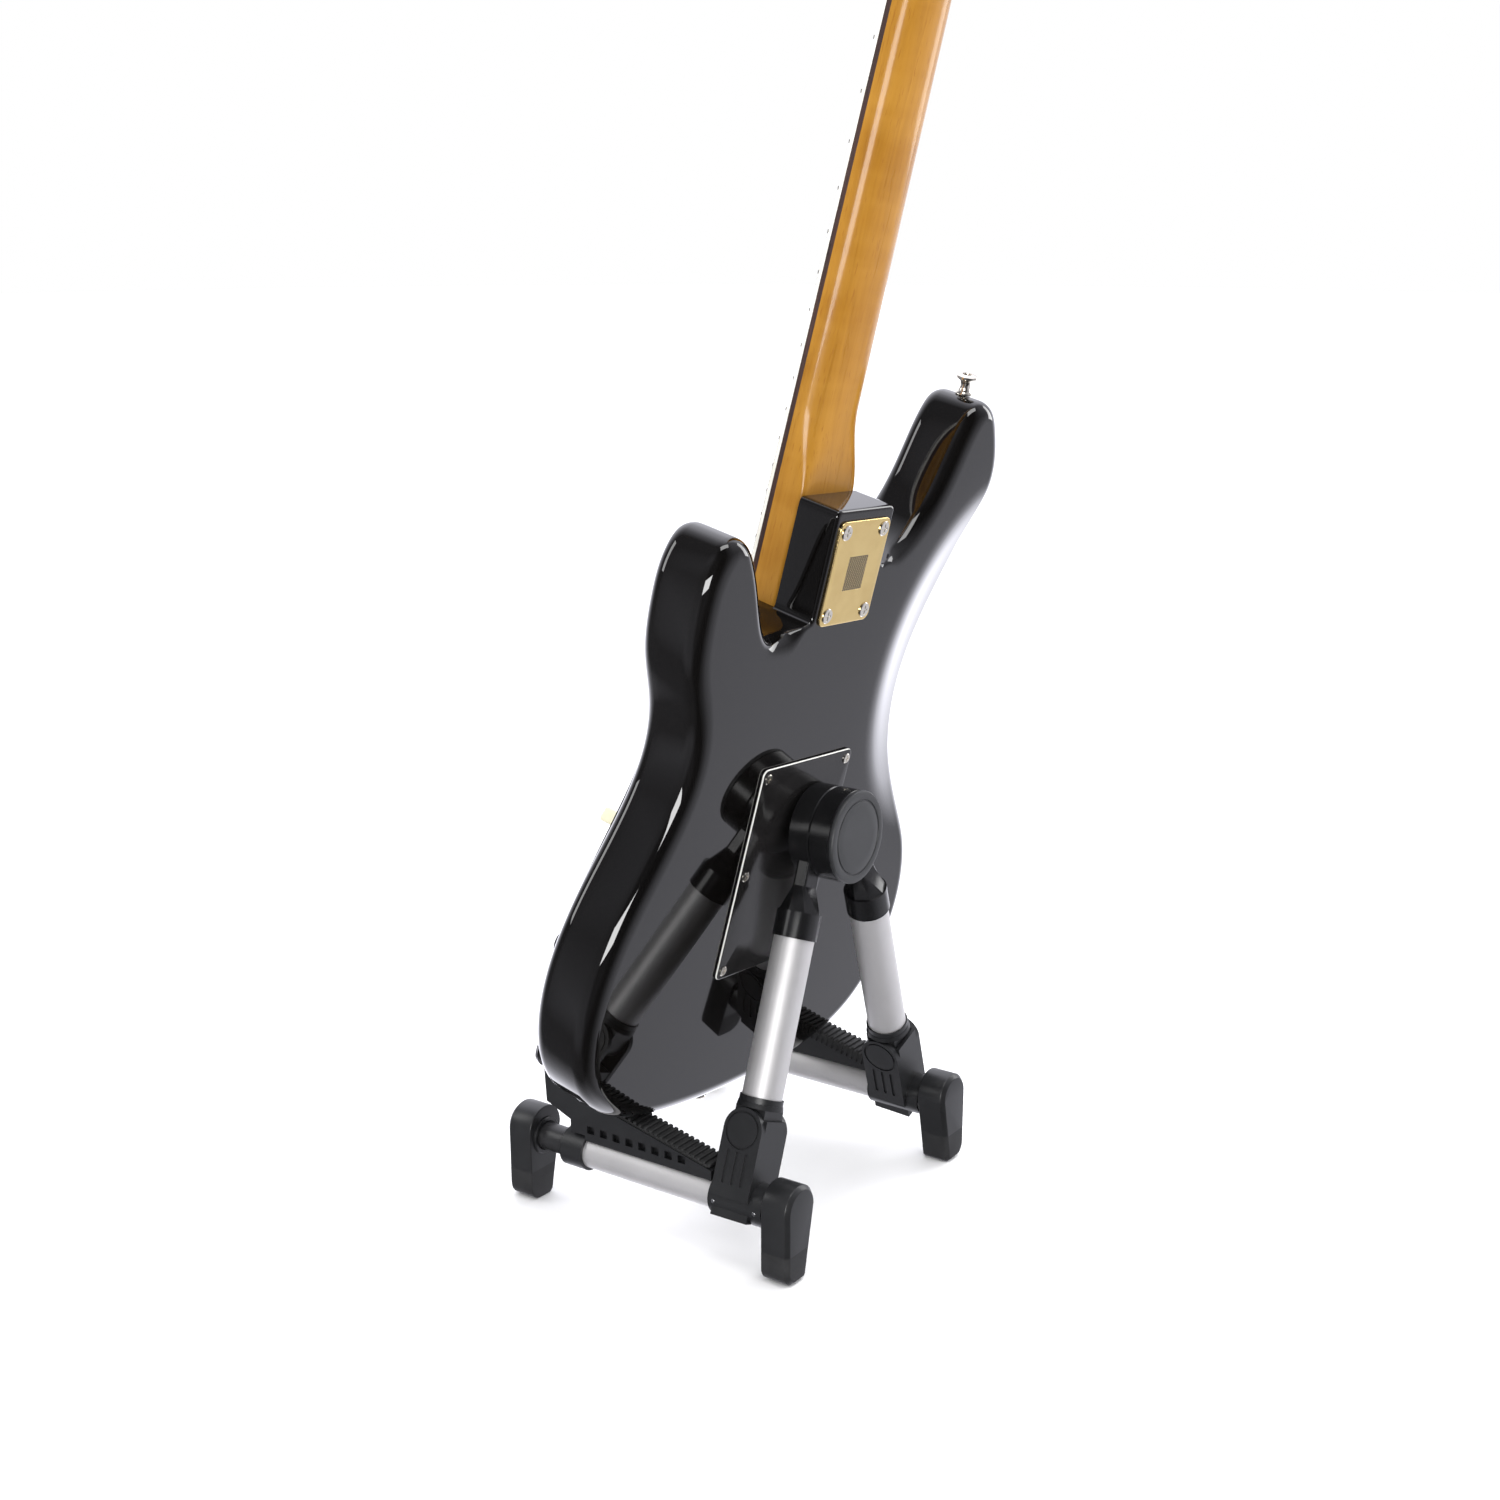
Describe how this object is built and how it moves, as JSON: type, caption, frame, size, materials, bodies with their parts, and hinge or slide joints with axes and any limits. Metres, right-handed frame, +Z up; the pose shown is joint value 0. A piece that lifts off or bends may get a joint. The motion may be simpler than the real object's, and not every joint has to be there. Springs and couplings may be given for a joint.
{
  "type": "electric guitar on folding stand",
  "caption": "Solid-body electric guitar with glossy black body and maple neck, leaning on a compact folding A-frame floor stand with tubular legs and ribbed rubber support arms.",
  "frame": {"origin": "middle of the bounding box on the floor, under the stand", "axes": "+X towards the treble side of the guitar, +Y towards the back of the stand, +Z up"},
  "size_m": [0.3228, 0.3044, 1.0168],
  "materials": {
    "stand_plastic": "satin moulded black plastic",
    "hub_cap": "satin dark grey plastic",
    "pad_rubber": "matt black rubber",
    "sole_rubber": "matt black rubber",
    "anodised_tube": "satin anodised",
    "black_tube": "satin black",
    "steel_pin": "polished",
    "black_lacquer": "high-gloss black lacquer over wood",
    "maple": "amber gloss lacquer over maple",
    "rosewood": "oiled rosewood",
    "fret_wire": "polished nickel silver",
    "bone": "polished bone white",
    "gold_plate": "satin gold plate",
    "screw_chrome": "polished chrome",
    "cover_plastic": "black laminate with a white core at its edge",
    "guard_plastic": "black laminate with a white core at its edge",
    "pickup_plastic": "satin black",
    "knob_plastic": "black",
    "cream_tip": "aged cream",
    "bridge_chrome": "polished chrome",
    "spring_steel": "bright",
    "string_steel": "bright"
  },
  "bodies": {
    "hub": {"hub_axle": "steel_pin", "hub_rear_cap": "hub_cap", "hub_front_pad": "pad_rubber"},
    "guitar": {"guitar_body": "black_lacquer", "neck": "maple", "fretboard": "rosewood", "frets": "fret_wire", "nut": "bone", "neck_plate": "gold_plate", "guitar_screws": "screw_chrome", "tremolo_cover": "cover_plastic", "strap_buttons": "screw_chrome", "pickguard": "guard_plastic", "pickups": "pickup_plastic", "output_jack": "bridge_chrome", "bridge_plate": "bridge_chrome", "bridge_saddles": "bridge_chrome", "tremolo_springs": "spring_steel", "strings": "string_steel", "tuner_housings": "bridge_chrome", "tuner_posts": "bridge_chrome"},
    "left_leg": {"left_hub_drum": "stand_plastic", "left_leg_tube": "anodised_tube", "left_leg_socket": "stand_plastic"},
    "left_bar": {"left_knuckle": "stand_plastic", "left_knuckle_pin": "steel_pin", "left_bar_tube": "anodised_tube", "left_bar_collar": "stand_plastic", "left_rear_foot": "stand_plastic", "left_rear_sole": "sole_rubber", "left_arm": "stand_plastic", "left_arm_pad": "pad_rubber"},
    "left_front_end": {"left_extension_tube": "black_tube", "left_front_foot": "stand_plastic", "left_front_sole": "sole_rubber"},
    "right_leg": {"right_hub_drum": "stand_plastic", "right_leg_tube": "anodised_tube", "right_leg_socket": "stand_plastic"},
    "right_bar": {"right_knuckle": "stand_plastic", "right_knuckle_pin": "steel_pin", "right_bar_tube": "anodised_tube", "right_bar_collar": "stand_plastic", "right_rear_foot": "stand_plastic", "right_rear_sole": "sole_rubber", "right_arm": "stand_plastic", "right_arm_pad": "pad_rubber"},
    "right_front_end": {"right_extension_tube": "black_tube", "right_front_foot": "stand_plastic", "right_front_sole": "sole_rubber"},
    "volume_knob": {"volume_knob": "knob_plastic"},
    "middle_tone_knob": {"middle_tone_knob": "knob_plastic"},
    "neck_tone_knob": {"neck_tone_knob": "knob_plastic"},
    "selector_lever": {"selector_lever": "cream_tip"},
    "tremolo_arm": {"tremolo_arm": "bridge_chrome"},
    "tuner_button_1": {"tuner_button_1": "bridge_chrome"},
    "tuner_button_2": {"tuner_button_2": "bridge_chrome"},
    "tuner_button_3": {"tuner_button_3": "bridge_chrome"},
    "tuner_button_4": {"tuner_button_4": "bridge_chrome"},
    "tuner_button_5": {"tuner_button_5": "bridge_chrome"},
    "tuner_button_6": {"tuner_button_6": "bridge_chrome"}
  },
  "joints": [
    {"name": "guitar_lift", "type": "slide", "parent": "hub", "child": "guitar", "axis": [-0.0545, 0.224, 0.9731], "range_m": [0, 0.5]},
    {"name": "left_leg_scissor", "type": "hinge", "parent": "hub", "child": "left_leg", "pos_m": [-0.0125, 0.0291, 0.2465], "axis": [0, 1, 0], "range_deg": [0, 15]},
    {"name": "left_bar_fold", "type": "hinge", "parent": "left_leg", "child": "left_bar", "pos_m": [0.06726, 0.02516, 0.07956], "axis": [-0.9284, 0, -0.3717], "range_deg": [0, 50.5]},
    {"name": "left_foot_extension", "type": "slide", "parent": "left_bar", "child": "left_front_end", "axis": [0, 1, 0], "range_m": [0, 0.017]},
    {"name": "right_leg_scissor", "type": "hinge", "parent": "hub", "child": "right_leg", "pos_m": [-0.0125, 0.0291, 0.2465], "axis": [0, 1, 0], "range_deg": [-15, 0]},
    {"name": "right_bar_fold", "type": "hinge", "parent": "right_leg", "child": "right_bar", "pos_m": [-0.0923, 0.02261, 0.07947], "axis": [-0.9284, 0, 0.3717], "range_deg": [0, 50.5]},
    {"name": "right_foot_extension", "type": "slide", "parent": "right_bar", "child": "right_front_end", "axis": [0, 1, 0], "range_m": [0, 0.017]},
    {"name": "volume_knob_turn", "type": "hinge", "parent": "guitar", "child": "volume_knob", "pos_m": [0.06691, -0.04823, 0.23793], "axis": [-0.0476, -0.974, 0.2215], "range_deg": [-140, 140]},
    {"name": "middle_tone_knob_turn", "type": "hinge", "parent": "guitar", "child": "middle_tone_knob", "pos_m": [0.09326, -0.05491, 0.21423], "axis": [-0.0476, -0.974, 0.2215], "range_deg": [-140, 140]},
    {"name": "neck_tone_knob_turn", "type": "hinge", "parent": "guitar", "child": "neck_tone_knob", "pos_m": [0.11961, -0.06159, 0.19052], "axis": [-0.0476, -0.974, 0.2215], "range_deg": [-140, 140]},
    {"name": "pickup_selector", "type": "hinge", "parent": "guitar", "child": "selector_lever", "pos_m": [0.09301, -0.03404, 0.26079], "axis": [0.7857, 0.1004, 0.6104], "range_deg": [-14, 14]},
    {"name": "tremolo_arm_swing", "type": "hinge", "parent": "guitar", "child": "tremolo_arm", "pos_m": [0.03278, -0.06192, 0.21554], "axis": [-0.0476, -0.974, 0.2215], "range_deg": [-30, 90]},
    {"name": "tuner_1_turn", "type": "hinge", "parent": "guitar", "child": "tuner_button_1", "pos_m": [-0.08025, 0.12011, 0.8579], "axis": [-0.9974, 0.0343, -0.0638], "continuous": true},
    {"name": "tuner_2_turn", "type": "hinge", "parent": "guitar", "child": "tuner_button_2", "pos_m": [-0.07906, 0.1254, 0.88141], "axis": [-0.9974, 0.0343, -0.0638], "continuous": true},
    {"name": "tuner_3_turn", "type": "hinge", "parent": "guitar", "child": "tuner_button_3", "pos_m": [-0.07788, 0.1307, 0.90493], "axis": [-0.9974, 0.0343, -0.0638], "continuous": true},
    {"name": "tuner_4_turn", "type": "hinge", "parent": "guitar", "child": "tuner_button_4", "pos_m": [-0.07669, 0.13598, 0.92844], "axis": [-0.9974, 0.0343, -0.0638], "continuous": true},
    {"name": "tuner_5_turn", "type": "hinge", "parent": "guitar", "child": "tuner_button_5", "pos_m": [-0.07551, 0.14128, 0.95195], "axis": [-0.9974, 0.0343, -0.0638], "continuous": true},
    {"name": "tuner_6_turn", "type": "hinge", "parent": "guitar", "child": "tuner_button_6", "pos_m": [-0.07432, 0.14657, 0.97547], "axis": [-0.9974, 0.0343, -0.0638], "continuous": true}
  ],
  "couplings": [
    {"joint": "left_bar_fold", "follows": "guitar_lift", "rad_per_m": 1.7453},
    {"joint": "right_bar_fold", "follows": "guitar_lift", "rad_per_m": 1.7453},
    {"joint": "right_leg_scissor", "follows": "left_leg_scissor", "ratio": -1}
  ]
}
